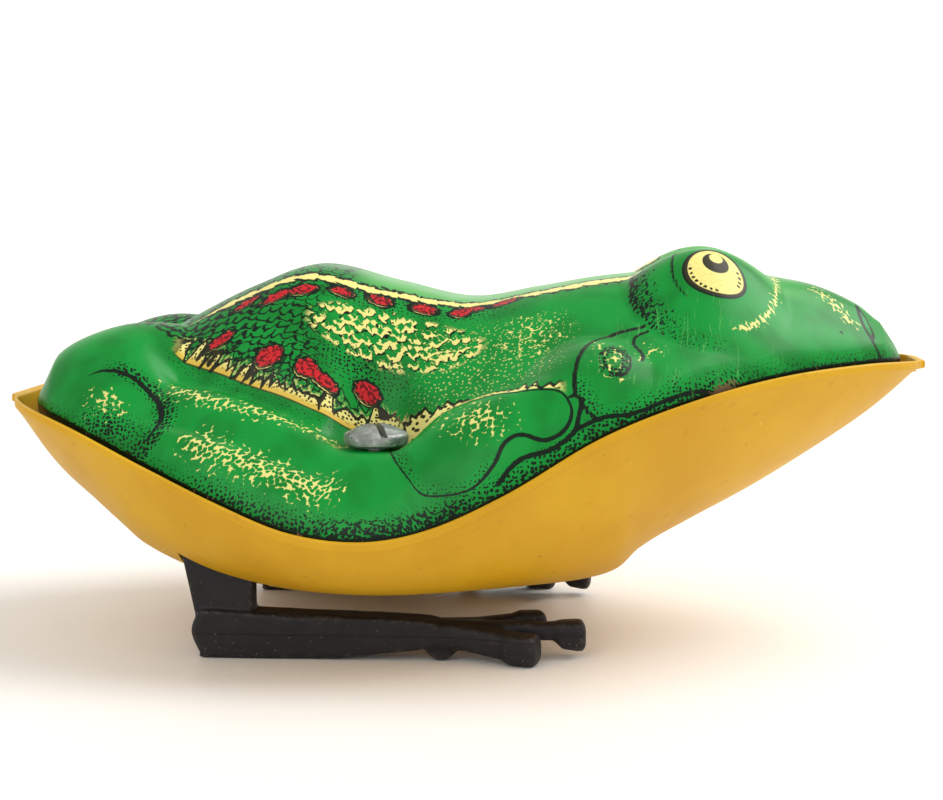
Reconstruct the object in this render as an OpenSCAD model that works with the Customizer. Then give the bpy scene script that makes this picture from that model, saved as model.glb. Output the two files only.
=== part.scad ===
// Wind-up jumping frog: a pressed tin back on a moulded belly, with a flat clockwork
// between two horizontal plates and a sprung pair of legs. Millimetres, +Z up, nose
// towards +X. The origin is on the ground under the middle of the body. The shells and
// the clockwork are drawn on the body's own base line, which stands above the ground.

/* [Shells] */
// Sheet thickness of the pressed tin back
tin_t = 0.6; // [0.4:0.1:0.8]
// Wall thickness of the moulded belly
belly_t = 1.2; // [1:0.1:1.4]
// Inset of the tin's edge from the belly's outer edge
rim_gap = 0.9; // [0.7:0.1:1.2]
// Stations along the shells
stations = 46; // [30:2:52]
// Points across the shells
ribs = 28; // [20:2:32]

/* [Winding knob] */
// Diameter of the slotted knob
knob_d = 7.2; // [6:0.1:8]
// Height of the knob
knob_h = 2.5; // [2:0.1:3]
// Width of the knob's slot
slot_w = 0.9; // [0.6:0.1:1.2]
// Direction of the slot in plan, in degrees
slot_angle = 112; // [0:1:180]

/* [Clockwork] */
// Thickness of the two plates and the sheet parts
plate_t = 0.6; // [0.4:0.1:0.7]
// Underside of the bottom plate above the body's base line
bottom_plate_z = 10.4; // [10.3:0.1:10.5]
// Underside of the top plate above the body's base line
top_plate_z = 19.4; // [19.3:0.1:19.6]
// Radius of the winding arbor
winding_r = 1.25; // [1:0.05:1.3]
// Radius of the train arbors
arbor_r = 0.8; // [0.6:0.05:0.9]
// Running clearance of a shaft in its bore
run_fit = 0.05; // [0.02:0.01:0.08]

/* [Legs] */
// Half the distance between the two legs
leg_y = 19; // [18.8:0.1:19.2]
// Thickness of a leg's upright blade
blade_t = 3; // [2.6:0.1:3.2]
// Radius of the leg axle
axle_r = 0.9; // [0.8:0.05:1]
// Height of the body's base line above the ground
stand = 1.3; // [1:0.1:1.6]

/* [Hidden] */
$fn = 48;

// Body outline: [x, value] pairs joined by a smooth curve
stern_x = -53.3;
nose_x = 53.3;
half_width = [[-53.3, 10.5], [-51.8, 14.6], [-49, 18.2], [-43, 22.4], [-33, 27.4], [-21, 31.6],
    [-9, 33], [4, 31.8], [15, 28.6], [26, 23.6], [36, 17.8], [44, 12.6], [49, 8.8], [51.8, 5.8],
    [53.3, 3]];
rim_height = [[-53.3, 27.6], [-44, 25], [-34, 21.2], [-25, 17.7], [-17, 15], [-9, 14.3],
    [-2, 15.7], [6, 19.3], [16, 25], [26, 28.6], [36, 30.8], [46, 31.7], [53.3, 31.6]];
keel_height = [[-53.3, 27.6], [-52.2, 24], [-48.6, 18], [-43, 13.5], [-39.5, 11], [-37, 9.3],
    [-30, 6.9], [-20, 5.6], [-11, 5.2], [-2, 5.4], [8, 5.9], [15, 6.4], [18, 7.3], [20.2, 9.3],
    [26, 12.4], [33, 16.1], [40, 20.4], [47, 25.2], [51.5, 29.2], [53.3, 31.6]];
bilge_power = [[-53.3, 2.2], [-44, 3], [-34, 4.2], [-20, 4.6], [10, 4.4], [18, 3.6], [24, 2.8],
    [36, 2.4], [53.3, 2]];
ridge_height = [[-51, 27.4], [-49, 29.8], [-44, 31], [-37.6, 33.9], [-31.5, 37.3], [-25.8, 40.1],
    [-18.3, 42.6], [-9, 40.6], [0, 38.7], [8, 39.9], [15, 41.1], [24, 42], [30, 42.1], [36, 41.2],
    [41.2, 40.1], [45.8, 38], [48.1, 36.2], [51.6, 34]];
side_height = [[-51, 27.4], [-47, 29], [-40, 28.6], [-31, 27], [-18, 22.6], [-8, 21.5], [0, 24],
    [8, 28], [16, 31.5], [26, 34], [36, 35.5], [44, 35], [51.6, 33]];
waist = [[-51, 0.54], [-25, 0.54], [-9, 0.47], [8, 0.54], [51.6, 0.54]];
shell_stern_x = -50.9;
shell_nose_x = 50.9;
boss_z = 6.5;
edge_lift = 0.4;

// Clockwork places in plan
winding_at = [-9, -21];
second_at = winding_at + [0, 9.9];
cam_at = second_at + [-8.64, 6.48];
fly_at = cam_at + [0, 9.6];
second_line = atan2(cam_at[1] - second_at[1], cam_at[0] - second_at[0]);
spring_post_at = winding_at + [7, 0];
pillars_at = [[2, -17.5], [1.5, 2], [-9, 12], [-22.5, -13.5]];
screws_at = [[4.5, -8], [-24.5, -8.5], [-16, 12.5]];
click_at = [4.4, -3.95];
click_nose = [3.74, -0.33];

// Clockwork levels: underside of each layer
low_wheel_z = bottom_plate_z + plate_t + 0.4;
high_wheel_z = low_wheel_z + 1.3;
ratchet_z = high_wheel_z + 1;
spring_z = ratchet_z + 1;
fly_z = high_wheel_z + 2;
cam_z = top_plate_z + plate_t + 0.8;
spring_h = 3.8;
gear_t = 0.7;
great_teeth = 32;
wheel_teeth = 36;
pinion_teeth = 12;
main_module = 0.45;
fly_module = 0.4;
bore_fit = 0.02;
pinion_h = 1.1;
pillar_pin_r = 0.8;
screw_r = 0.7;
post_r = 0.5;
rivet_r = 0.45;
cam_r = 7;
cam_base_r = 5.6;

// Flat seat pressed in the tin round the winding arbor, and the knob above it
seat_z = 22.8;
seat_r = 6.5;
knob_z = seat_z + 0.35;

// Leg axle, as [x, z], and its bearings
axle_at = [-27.5, 13.4];
bracket_y = 13.4;

// Smooth curve through [x, value] pairs
function span(p, x, i = 0) = i >= len(p) - 2 || x < p[i + 1][0] ? i : span(p, x, i + 1);
function slope(p, i) =
    let (a = max(i - 1, 0), b = min(i + 1, len(p) - 1))
    (p[b][1] - p[a][1]) / (p[b][0] - p[a][0]);
function curve(p, x) =
    let (i = span(p, x), h = p[i + 1][0] - p[i][0], t = min(max((x - p[i][0]) / h, 0), 1))
    (2 * t ^ 3 - 3 * t ^ 2 + 1) * p[i][1] + (t ^ 3 - 2 * t ^ 2 + t) * h * slope(p, i)
    + (3 * t ^ 2 - 2 * t ^ 3) * p[i + 1][1] + (t ^ 3 - t ^ 2) * h * slope(p, i + 1);

// A rounded bump centred at c with half-axes r, and a valley along the line from a to b
function bump(x, y, c, r, h, power) =
    h * max(0, 1 - ((x - c[0]) / r[0]) ^ 2 - ((y - c[1]) / r[1]) ^ 2) ^ power;
function along(x, y, a, b) =
    min(max(([x, y] - a) * (b - a) / ((b - a) * (b - a)), 0), 1);
function valley(x, y, a, b, depth, spread) =
    let (t = along(x, y, a, b), d = norm([x, y] - a - t * (b - a)))
    -depth * exp(-(d / spread) ^ 2) * min(1, 4 * t, 4 * (1 - t));

// Height of the tin back at x, where v runs from -1 to 1 across the width w
function shell_width(x) = curve(half_width, x * nose_x / shell_nose_x) - rim_gap;
function shell_edge(x) = curve(rim_height, x) + edge_lift;
function end_rise(x) =
    min(1, max(0, (x - shell_stern_x) / 3.2)) ^ 0.5 * min(1, max(0, (shell_nose_x - x) / 2.4)) ^ 0.5;
function back_form(x, y, w) =
    let (side = curve(side_height, x), ridge = curve(ridge_height, x))
    side + (ridge - side) / (1 + (y / (curve(waist, x) * w)) ^ 4)
    + bump(x, y, [-42.3, 12.5], [10.5, 9.8], 5, 1.15)
    + bump(x, y, [27.8, 9.4], [9.6, 8.8], 3.7, 1.2)
    + bump(x, y, [1.5, 26.5], [11, 6.5], 3.2, 1.2)
    + bump(x, y, [14, 22.5], [7.5, 6.5], 2.2, 1.2)
    + valley(x, y, [-37, 14], [-11, 22], 2, 1.8)
    + valley(x, y, [-38, 21], [-11, 28], 1.4, 1.5);
function seat_share(x, y) = 1 / (1 + (norm([x, y] - winding_at) / seat_r) ^ 10);
function back_height(x, v) =
    let (w = shell_width(x), edge = shell_edge(x), seat = seat_share(x, v * w))
    seat * seat_z + (1 - seat)
        * (edge + (back_form(x, abs(v) * w, w) - edge) * max(0, 1 - abs(v) ^ 6) ^ 0.62 * end_rise(x));
function belly_height(x, v) =
    let (keel = curve(keel_height, x))
    keel + (curve(rim_height, x) - keel) * abs(v) ^ curve(bilge_power, x);

// Spacing: closer together at both ends of a run and at both edges of a section
function run_at(i) = 0.5 * i / stations + 0.25 * (1 - cos(180 * i / stations));
function across(j) = sin(90 * (2 * j / ribs - 1));

// A closed sheet between two lattices of (stations + 1) by (ribs + 1) points
function cell(i, j) = i * (ribs + 1) + j;
function quad(a, b, c, d, flip) = flip ? [[a, c, b], [a, d, c]] : [[a, b, c], [a, c, d]];
module sheet(outer, inner, up) {
    count = (stations + 1) * (ribs + 1);
    skins = [for (side = [0, 1], i = [0:stations - 1], j = [0:ribs - 1])
        each quad(side * count + cell(i, j), side * count + cell(i + 1, j),
            side * count + cell(i + 1, j + 1), side * count + cell(i, j + 1), up == (side == 0))];
    sides = [for (j = [0, ribs], i = [0:stations - 1])
        each quad(cell(i, j), cell(i + 1, j), count + cell(i + 1, j), count + cell(i, j),
            up == (j == ribs))];
    ends = [for (i = [0, stations], j = [0:ribs - 1])
        each quad(cell(i, j), cell(i, j + 1), count + cell(i, j + 1), count + cell(i, j),
            up == (i == 0))];
    polyhedron(concat(outer, inner), concat(skins, sides, ends), convexity = 6);
}

module top_shell() {
    length = shell_nose_x - shell_stern_x;
    outer = [for (i = [0:stations], j = [0:ribs])
        let (x = shell_stern_x + length * run_at(i), v = across(j))
        [x, v * shell_width(x), back_height(x, v)]];
    inner = [for (i = [0:stations], j = [0:ribs])
        let (x = shell_stern_x + length * run_at(i), v = across(j))
        [shell_stern_x + tin_t + (length - 2 * tin_t) * run_at(i), v * (shell_width(x) - tin_t),
            max(back_height(x, v) - tin_t, shell_edge(x))]];
    color("limegreen")
    difference() {
        sheet(outer, inner, true);
        translate([winding_at[0], winding_at[1], seat_z - 4]) cylinder(h = 8, r = winding_r + 0.4);
    }
}

module belly_shell() {
    length = nose_x - stern_x;
    outer = [for (i = [0:stations], j = [0:ribs])
        let (x = stern_x + length * run_at(i), v = across(j))
        [x, v * curve(half_width, x), belly_height(x, v)]];
    inner = [for (i = [0:stations], j = [0:ribs])
        let (x = stern_x + length * run_at(i), v = across(j))
        [stern_x + belly_t + (length - 2 * belly_t) * run_at(i),
            v * (curve(half_width, x) - min(belly_t, 0.8 * curve(half_width, x))),
            min(belly_height(x, v) + belly_t, curve(rim_height, x))]];
    color("goldenrod")
    difference() {
        union() {
            sheet(outer, inner, false);
            for (p = screws_at) translate([p[0], p[1], boss_z])
                cylinder(h = bottom_plate_z - boss_z, r = 1.9);
        }
        for (side = [-1, 1])
            translate([-32.6, side * leg_y - blade_t / 2 - 0.5, 4]) cube([11.3, blade_t + 1, 12]);
        for (p = screws_at) translate([p[0], p[1], 7.6]) cylinder(h = 6, r = screw_r + run_fit);
    }
}

// Sheet plates and what joins them
module bored(points, r, z) {
    for (p = points) translate([p[0], p[1], z - 1]) cylinder(h = plate_t + 2, r = r);
}

module bottom_plate() {
    color("silver")
    difference() {
        translate([0, 0, bottom_plate_z]) linear_extrude(plate_t)
            polygon([[-30, -15.6], [-20, -15.6], [-15, -24], [-4, -24], [5, -20], [7.5, -8],
                [5, 4], [-6, 15.6], [-30, 15.6]]);
        bored([winding_at], winding_r + run_fit, bottom_plate_z);
        bored([second_at, cam_at, fly_at], arbor_r + run_fit, bottom_plate_z);
        bored(pillars_at, pillar_pin_r + bore_fit, bottom_plate_z);
        bored(screws_at, screw_r + 0.1, bottom_plate_z);
    }
}

module top_plate() {
    color("silver")
    difference() {
        translate([0, 0, top_plate_z]) linear_extrude(plate_t)
            polygon([[-24.3, -15.6], [-15, -23.6], [-4, -23.6], [4.5, -19.5], [4, 4.5],
                [-6.5, 14.5], [-24.3, 10]]);
        bored([winding_at], winding_r + run_fit, top_plate_z);
        bored([second_at, cam_at, fly_at], arbor_r + run_fit, top_plate_z);
        bored(pillars_at, pillar_pin_r + bore_fit, top_plate_z);
        bored([spring_post_at], post_r + bore_fit, top_plate_z);
    }
}

module plate_pillars() {
    color("lightgray")
    for (p = pillars_at) translate([p[0], p[1], bottom_plate_z]) {
        translate([0, 0, plate_t]) cylinder(h = top_plate_z - bottom_plate_z - plate_t, r = 1.3);
        cylinder(h = top_plate_z - bottom_plate_z + plate_t, r = pillar_pin_r);
    }
}

module motor_screws() {
    color("gray")
    for (p = screws_at) translate([p[0], p[1], bottom_plate_z + plate_t]) difference() {
        union() {
            translate([0, 0, -2.4]) cylinder(h = 2.5, r = screw_r);
            cylinder(h = 0.8, r = 1.5);
        }
        translate([-2, -0.2, 0.45]) cube([4, 0.4, 1]);
    }
}

module axle_brackets() {
    foot_z = bottom_plate_z + plate_t;
    color("silver")
    for (side = [-1, 1]) translate([axle_at[0], side * bracket_y, 0]) difference() {
        union() {
            translate([-2.2, -0.4, foot_z]) cube([4.4, 0.8, axle_at[1] - foot_z]);
            translate([0, 0.4, axle_at[1]]) rotate([90, 0, 0]) cylinder(h = 0.8, r = 2.2);
            translate([-2.2, side > 0 ? -3.2 : 0.2, foot_z]) cube([4.4, 3, plate_t]);
        }
        translate([0, 2, axle_at[1]]) rotate([90, 0, 0]) cylinder(h = 4, r = axle_r + run_fit);
    }
}

module spring_post() {
    color("gray")
    translate([spring_post_at[0], spring_post_at[1], spring_z])
        cylinder(h = top_plate_z + plate_t - spring_z, r = post_r);
}

// Flat spiral strip, wound about the winding arbor
module mainspring() {
    turns = 6;
    steps = turns * 24;
    inner_r = 1.9;
    outer_r = 6.1;
    strip = 0.3;
    function spiral(k, offset) =
        let (r = inner_r + (outer_r - inner_r) * k / steps + offset, a = 360 * turns * k / steps)
        [r * cos(a), r * sin(a)];
    color("slategray")
    translate([winding_at[0], winding_at[1], spring_z])
        linear_extrude(spring_h)
            polygon(concat([for (k = [0:steps]) spiral(k, 0)],
                [for (k = [steps:-1:0]) spiral(k, strip)]));
}

// Winding arbor with its knob and ratchet
module winding_knob() {
    edge = 0.7;
    r = knob_d / 2;
    color("gray")
    translate([winding_at[0], winding_at[1], knob_z]) difference() {
        rotate_extrude() union() {
            square([r - edge, knob_h]);
            translate([0, edge]) square([r, knob_h - 2 * edge]);
            translate([r - edge, edge]) circle(r = edge);
            translate([r - edge, knob_h - edge]) circle(r = edge);
        }
        rotate([0, 0, slot_angle]) translate([-r - 1, -slot_w / 2, knob_h - 1.1])
            cube([knob_d + 2, slot_w, 2]);
        translate([0, 0, -1]) cylinder(h = 2.1, r = winding_r + bore_fit);
    }
}

module winding_arbor() {
    color("lightgray")
    translate([winding_at[0], winding_at[1], bottom_plate_z])
        cylinder(h = knob_z + 1 - bottom_plate_z, r = winding_r);
}

module ratchet_wheel() {
    teeth = 12;
    step = 360 / teeth;
    color("silver")
    translate([winding_at[0], winding_at[1], ratchet_z]) difference() {
        linear_extrude(gear_t)
            polygon([for (k = [0:teeth - 1], r = [2.7, 3.4])
                [r * cos(k * step), r * sin(k * step)]]);
        translate([0, 0, -1]) cylinder(h = 4, r = winding_r + bore_fit);
    }
}

// A spur gear with one tooth centred at the angle phase
module gear(teeth, size, thickness, bore, phase) {
    pitch_r = size * teeth / 2;
    tooth = 360 / teeth;
    flank = [[pitch_r - 1.2 * size, -0.32], [pitch_r, -0.2], [pitch_r + 0.85 * size, -0.09],
        [pitch_r + 0.85 * size, 0.09], [pitch_r, 0.2], [pitch_r - 1.2 * size, 0.32]];
    difference() {
        linear_extrude(thickness)
            polygon([for (k = [0:teeth - 1], f = flank)
                let (a = phase + (k + f[1]) * tooth)
                [f[0] * cos(a), f[0] * sin(a)]]);
        translate([0, 0, -1]) cylinder(h = thickness + 2, r = bore);
    }
}

module great_wheel() {
    color("goldenrod")
    translate([winding_at[0], winding_at[1], high_wheel_z]) difference() {
        gear(great_teeth, main_module, gear_t, winding_r + run_fit, 90);
        translate([click_at[0], click_at[1], -1]) cylinder(h = 3, r = rivet_r + bore_fit);
    }
}

module click_rivet() {
    color("gray")
    translate([winding_at[0] + click_at[0], winding_at[1] + click_at[1], high_wheel_z]) {
        cylinder(h = 1.75, r = rivet_r);
        translate([0, 0, 1.75]) cylinder(h = 0.2, r = 0.8);
    }
}

module click() {
    reach = click_nose - click_at;
    aside = [-reach[1], reach[0]] / norm(reach);
    color("silver")
    translate([winding_at[0], winding_at[1], ratchet_z]) difference() {
        linear_extrude(gear_t) union() {
            translate(click_at) circle(r = 1);
            translate(click_nose) circle(r = 0.2);
            polygon([click_at + aside * 0.96, click_at - aside * 0.96, click_nose - aside * 0.2,
                click_nose + aside * 0.2]);
        }
        translate([click_at[0], click_at[1], -1]) cylinder(h = 3, r = rivet_r + run_fit);
    }
}

// Train arbors
module train_arbor(at, high) {
    color("lightgray")
    translate([at[0], at[1], bottom_plate_z]) cylinder(h = high - bottom_plate_z, r = arbor_r);
}

module second_arbor() {
    train_arbor(second_at, top_plate_z + plate_t);
}

module second_pinion() {
    color("goldenrod")
    translate([second_at[0], second_at[1], high_wheel_z - 0.2])
        gear(pinion_teeth, main_module, pinion_h, arbor_r + bore_fit, 270 + 180 / pinion_teeth);
}

module second_wheel() {
    color("goldenrod")
    translate([second_at[0], second_at[1], low_wheel_z])
        gear(wheel_teeth, main_module, gear_t, arbor_r + bore_fit, second_line);
}

module cam_arbor() {
    train_arbor(cam_at, cam_z + 2.2);
}

module cam_pinion() {
    color("goldenrod")
    translate([cam_at[0], cam_at[1], low_wheel_z - 0.2])
        gear(pinion_teeth, main_module, pinion_h, arbor_r + bore_fit, second_line + 180 + 180 / pinion_teeth);
}

module third_wheel() {
    color("goldenrod")
    translate([cam_at[0], cam_at[1], high_wheel_z])
        gear(wheel_teeth, fly_module, gear_t, arbor_r + bore_fit, 90);
}

// Snail cam: the radius grows round one turn and drops at once
module kick_cam() {
    steps = 36;
    color("dimgray")
    translate([cam_at[0], cam_at[1], cam_z]) difference() {
        union() {
            linear_extrude(1.4)
                polygon([for (k = [0:steps])
                    let (r = cam_base_r + (cam_r - cam_base_r) * k / steps, a = 170 - 360 * k / steps)
                    [r * cos(a), r * sin(a)]]);
            translate([0, 0, 1.4]) cylinder(h = 0.6, r = 2);
        }
        translate([0, 0, -1]) cylinder(h = 5, r = arbor_r + bore_fit);
    }
}

module fly_arbor() {
    train_arbor(fly_at, top_plate_z + plate_t);
}

module fly_pinion() {
    color("goldenrod")
    translate([fly_at[0], fly_at[1], high_wheel_z - 0.2])
        gear(pinion_teeth, fly_module, pinion_h, arbor_r + bore_fit, 270 + 180 / pinion_teeth);
}

module fly_disc() {
    color("goldenrod")
    translate([fly_at[0], fly_at[1], fly_z]) difference() {
        union() {
            cylinder(h = 1.4, r = 4.6);
            cylinder(h = 2.6, r = 1.8);
        }
        translate([0, 0, -1]) cylinder(h = 5, r = arbor_r + bore_fit);
    }
}

// A bone of the foot between two balls, [x, y, z, radius] each
module bone(a, b) {
    hull() {
        translate([a[0], a[1], a[2]]) sphere(r = a[3], $fn = 16);
        translate([b[0], b[1], b[2]]) sphere(r = b[3], $fn = 16);
    }
}

// The foot of the right leg, on the ground: heel, bar, three toes and the pad below
module foot() {
    palm = [-3, -leg_y, 2.4, 1.7];
    translate([-29.8, -leg_y - 2.1, 0]) cube([7.8, 4.2, 5.3]);
    hull() {
        translate([-23, -leg_y, 2.6]) cube([1, 4, 5], center = true);
        translate([palm[0], palm[1], 2.7]) cube([1, 3.6, 3], center = true);
    }
    bone(palm, [12.9, -17.6, 2.5, 1.2]);
    bone(palm, [8.2, -21.8, 1.3, 1.2]);
    bone(palm, [8.8, -14.4, 2.4, 1.1]);
    translate([13, -17.6, 2.4]) sphere(r = 1.9, $fn = 24);
    translate([8.2, -21.8, 1.8]) sphere(r = 1.8, $fn = 24);
    translate([8.9, -14.4, 2.4]) sphere(r = 1.7, $fn = 24);
    translate([-2, -leg_y - 0.3, 0]) cylinder(h = 2.6, r = 2);
}

// One leg, drawn for the right side: the blade hangs from the axle and carries the foot
module leg() {
    difference() {
        union() {
            translate([0, blade_t / 2 - leg_y, 0]) rotate([90, 0, 0]) linear_extrude(blade_t) union() {
                polygon([[-22.6, 2], [-22.6, 11.6], [-24.9, 14], [-30.1, 14], [-31.3, 11],
                    [-29.2, 2]]);
                translate(axle_at) circle(r = 2.6);
            }
            translate([0, 0, -stand]) foot();
        }
        translate([axle_at[0], 5 - leg_y, axle_at[1]]) rotate([90, 0, 0])
            cylinder(h = 10, r = axle_r + bore_fit);
    }
}

module right_leg() {
    color("#2a2426") leg();
}

module left_leg() {
    color("#2a2426") mirror([0, 1, 0]) leg();
}

module leg_axle() {
    length = 2 * leg_y + blade_t;
    color("lightgray")
    translate([axle_at[0], length / 2, axle_at[1]]) rotate([90, 0, 0]) cylinder(h = length, r = axle_r);
}

module axle_clips() {
    color("gray")
    for (y = [-12.4, 12.4])
        translate([axle_at[0], y + 0.25, axle_at[1]]) rotate([90, 0, 0]) difference() {
            cylinder(h = 0.5, r = 1.8);
            translate([0, 0, -1]) cylinder(h = 3, r = axle_r + bore_fit);
        }
}

// Upright arm on the axle, with a pad just clear of the cam's highest point
module cam_follower() {
    pad_x = cam_at[0] - cam_r - 0.3 - axle_at[0];
    pad_z = cam_z + 0.7 - axle_at[1];
    color("silver")
    translate([axle_at[0], cam_at[1] + 1.5, axle_at[1]]) rotate([90, 0, 0]) difference() {
        linear_extrude(3) union() {
            circle(r = 1.9);
            polygon([[-1.2, 0], [1.2, 0], [pad_x, pad_z - 2], [pad_x, pad_z + 2],
                [pad_x - 1, pad_z + 2], [pad_x - 1.4, pad_z - 2]]);
        }
        translate([0, 0, -1]) cylinder(h = 5, r = axle_r + bore_fit);
    }
}

// Torsion spring round the axle: a wire swept along its coils and two straight ends
module leg_spring() {
    wire_r = 0.3;
    coil_r = 1.6;
    turns = 4.25;
    steps = 52;
    first_y = 3.5;
    rise = 0.75;
    sides = 6;
    coils = [for (k = [0:steps])
        let (a = -90 + 360 * turns * k / steps)
        [axle_at[0] + coil_r * cos(a), first_y + rise * turns * k / steps, axle_at[1] + coil_r * sin(a)]];
    last = coils[steps];
    path = concat([coils[0] + [-3.4, 0, 0]], coils, [last + [0, 0, 4.5]]);
    rings = len(path);
    function heading(k) =
        let (d = path[min(k + 1, rings - 1)] - path[max(k - 1, 0)]) d / norm(d);
    function ring(k) =
        let (d = heading(k), u = cross(d, [0, 1, 0]) / norm(cross(d, [0, 1, 0])), w = cross(d, u))
        [for (s = [0:sides - 1]) path[k] + wire_r * (u * cos(360 * s / sides) + w * sin(360 * s / sides))];
    points = [for (k = [0:rings - 1]) each ring(k)];
    walls = [for (k = [0:rings - 2], s = [0:sides - 1])
        let (t = (s + 1) % sides)
        each [[k * sides + s, k * sides + t, (k + 1) * sides + t],
            [k * sides + s, (k + 1) * sides + t, (k + 1) * sides + s]]];
    caps = [[for (s = [sides - 1:-1:0]) s], [for (s = [0:sides - 1]) (rings - 1) * sides + s]];
    color("lightgray") polyhedron(points, concat(walls, caps), convexity = 8);
}

// Raises a piece from the body's base line
module stood() {
    translate([0, 0, stand]) children();
}

stood() top_shell();
stood() belly_shell();
stood() bottom_plate();
stood() top_plate();
stood() plate_pillars();
stood() motor_screws();
stood() axle_brackets();
stood() spring_post();
stood() mainspring();
stood() winding_knob();
stood() winding_arbor();
stood() ratchet_wheel();
stood() great_wheel();
stood() click_rivet();
stood() click();
stood() second_arbor();
stood() second_pinion();
stood() second_wheel();
stood() cam_arbor();
stood() cam_pinion();
stood() third_wheel();
stood() kick_cam();
stood() fly_arbor();
stood() fly_pinion();
stood() fly_disc();
stood() right_leg();
stood() left_leg();
stood() leg_axle();
stood() axle_clips();
stood() cam_follower();
stood() leg_spring();
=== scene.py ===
"""Looks of the tin wind-up jumping frog: its printed tin back, moulded belly and feet, cast knob and
the metals of the clockwork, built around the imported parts."""
from math import cos, pi, radians, sin, tau

import bmesh
import bpy
import numpy as np
from mathutils import Matrix, Vector


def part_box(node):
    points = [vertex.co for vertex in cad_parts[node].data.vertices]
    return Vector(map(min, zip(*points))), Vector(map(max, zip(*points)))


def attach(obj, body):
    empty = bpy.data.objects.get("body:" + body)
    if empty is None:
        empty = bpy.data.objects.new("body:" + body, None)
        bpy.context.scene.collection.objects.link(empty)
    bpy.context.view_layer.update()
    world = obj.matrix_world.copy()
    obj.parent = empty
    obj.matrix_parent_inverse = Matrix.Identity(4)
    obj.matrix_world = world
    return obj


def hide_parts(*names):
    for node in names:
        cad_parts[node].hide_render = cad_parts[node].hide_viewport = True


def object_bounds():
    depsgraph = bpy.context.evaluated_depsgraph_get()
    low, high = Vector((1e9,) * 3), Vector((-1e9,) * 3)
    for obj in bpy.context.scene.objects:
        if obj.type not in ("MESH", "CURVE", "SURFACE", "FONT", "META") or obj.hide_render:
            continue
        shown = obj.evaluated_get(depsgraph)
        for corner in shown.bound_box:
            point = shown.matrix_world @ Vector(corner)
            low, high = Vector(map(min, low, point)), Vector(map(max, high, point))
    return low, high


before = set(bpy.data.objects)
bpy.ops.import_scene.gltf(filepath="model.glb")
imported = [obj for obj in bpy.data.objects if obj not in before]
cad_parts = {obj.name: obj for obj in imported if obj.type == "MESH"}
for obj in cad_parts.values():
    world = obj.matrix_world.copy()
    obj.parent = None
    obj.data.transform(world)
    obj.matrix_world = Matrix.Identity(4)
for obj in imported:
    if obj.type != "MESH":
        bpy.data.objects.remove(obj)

MM = 0.001
cad_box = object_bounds()
scene = bpy.context.scene


def add_object(name, data):
    """A new object, put in the scene."""
    thing = bpy.data.objects.new(name, data)
    scene.collection.objects.link(thing)
    return thing


# ---- camera

def add_camera():
    """Low on the frog's right side, turned a little towards its nose."""
    data = bpy.data.cameras.new("camera")
    data.sensor_width = 36
    data.lens = 72.7
    data.clip_start = 0.01
    camera = add_object("camera", data)
    camera.location = (0.018, -0.2293, 0.0513)
    camera.rotation_euler = (radians(90 - 5.93), 0, radians(4.5))
    scene.camera = camera


add_camera()


# ---- curves and flat distances, in mm

def curve(pairs, x):
    """A smooth line through (x, value) pairs, level beyond its ends."""
    at, value = np.array(pairs, float).T
    slope = np.empty(len(at))
    slope[1:-1] = (value[2:] - value[:-2]) / (at[2:] - at[:-2])
    slope[0] = (value[1] - value[0]) / (at[1] - at[0])
    slope[-1] = (value[-1] - value[-2]) / (at[-1] - at[-2])
    x = np.clip(np.asarray(x, float), at[0], at[-1])
    i = np.clip(np.searchsorted(at, x, side="right") - 1, 0, len(at) - 2)
    h = at[i + 1] - at[i]
    s = (x - at[i]) / h
    return ((2 * s**3 - 3 * s**2 + 1) * value[i] + (s**3 - 2 * s**2 + s) * h * slope[i]
            + (3 * s**2 - 2 * s**3) * value[i + 1] + (s**3 - s**2) * h * slope[i + 1])


def rounded(points, closed=False, steps=6):
    """Points along a smooth curve through the given ones."""
    p = np.array(points, float)
    ends = (p[-1:], p[:2]) if closed else (2 * p[:1] - p[1:2], 2 * p[-1:] - p[-2:-1])
    p = np.concatenate([ends[0], p, ends[1]])
    out = []
    for a, b, c, d in zip(p[:-3], p[1:-2], p[2:-1], p[3:]):
        for s in np.arange(steps) / steps:
            out.append(b + s / 2 * (c - a + s * (2 * a - 5 * b + 4 * c - d + s * (3 * (b - c) + d - a))))
    if not closed:
        out.append(p[-2])
    return np.array(out)


def to_line(x, t, points, closed=False):
    """Distance to a line of points, the side it is on (+1 or -1), and how far along, in mm."""
    p = np.array(points, float)
    if closed:
        p = np.concatenate([p, p[:1]])
    best = np.full(x.shape, 1e9)
    side = np.ones(x.shape)
    along = np.zeros(x.shape)
    done = 0.0
    for (ax, at), (bx, bt) in zip(p[:-1], p[1:]):
        dx, dt = bx - ax, bt - at
        length = np.hypot(dx, dt)
        s = np.clip(((x - ax) * dx + (t - at) * dt) / length**2, 0, 1)
        d = np.hypot(x - ax - s * dx, t - at - s * dt)
        near = d < best
        best = np.where(near, d, best)
        side = np.where(near, np.sign(dx * (t - at) - dt * (x - ax)), side)
        along = np.where(near, done + s * length, along)
        done += length
    return best, side, along


def to_shape(x, t, points):
    """Signed distance to a closed outline, negative inside."""
    p = np.array(points, float)
    distance = to_line(x, t, p, closed=True)[0]
    inside = np.zeros(x.shape, bool)
    for (ax, at), (bx, bt) in zip(p, np.roll(p, -1, axis=0)):
        if at != bt:
            crossing = (at > t) != (bt > t)
            inside ^= crossing & (x < (bx - ax) * (t - at) / (bt - at) + ax)
    return np.where(inside, -distance, distance)


def to_ellipse(x, t, centre, radii, turn=0.0):
    """Signed distance, nearly, to an ellipse turned by an angle in degrees."""
    c, s = cos(radians(turn)), sin(radians(turn))
    u = ((x - centre[0]) * c + (t - centre[1]) * s) / radii[0]
    v = ((t - centre[1]) * c - (x - centre[0]) * s) / radii[1]
    return (np.hypot(u, v) - 1) * min(radii)


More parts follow.
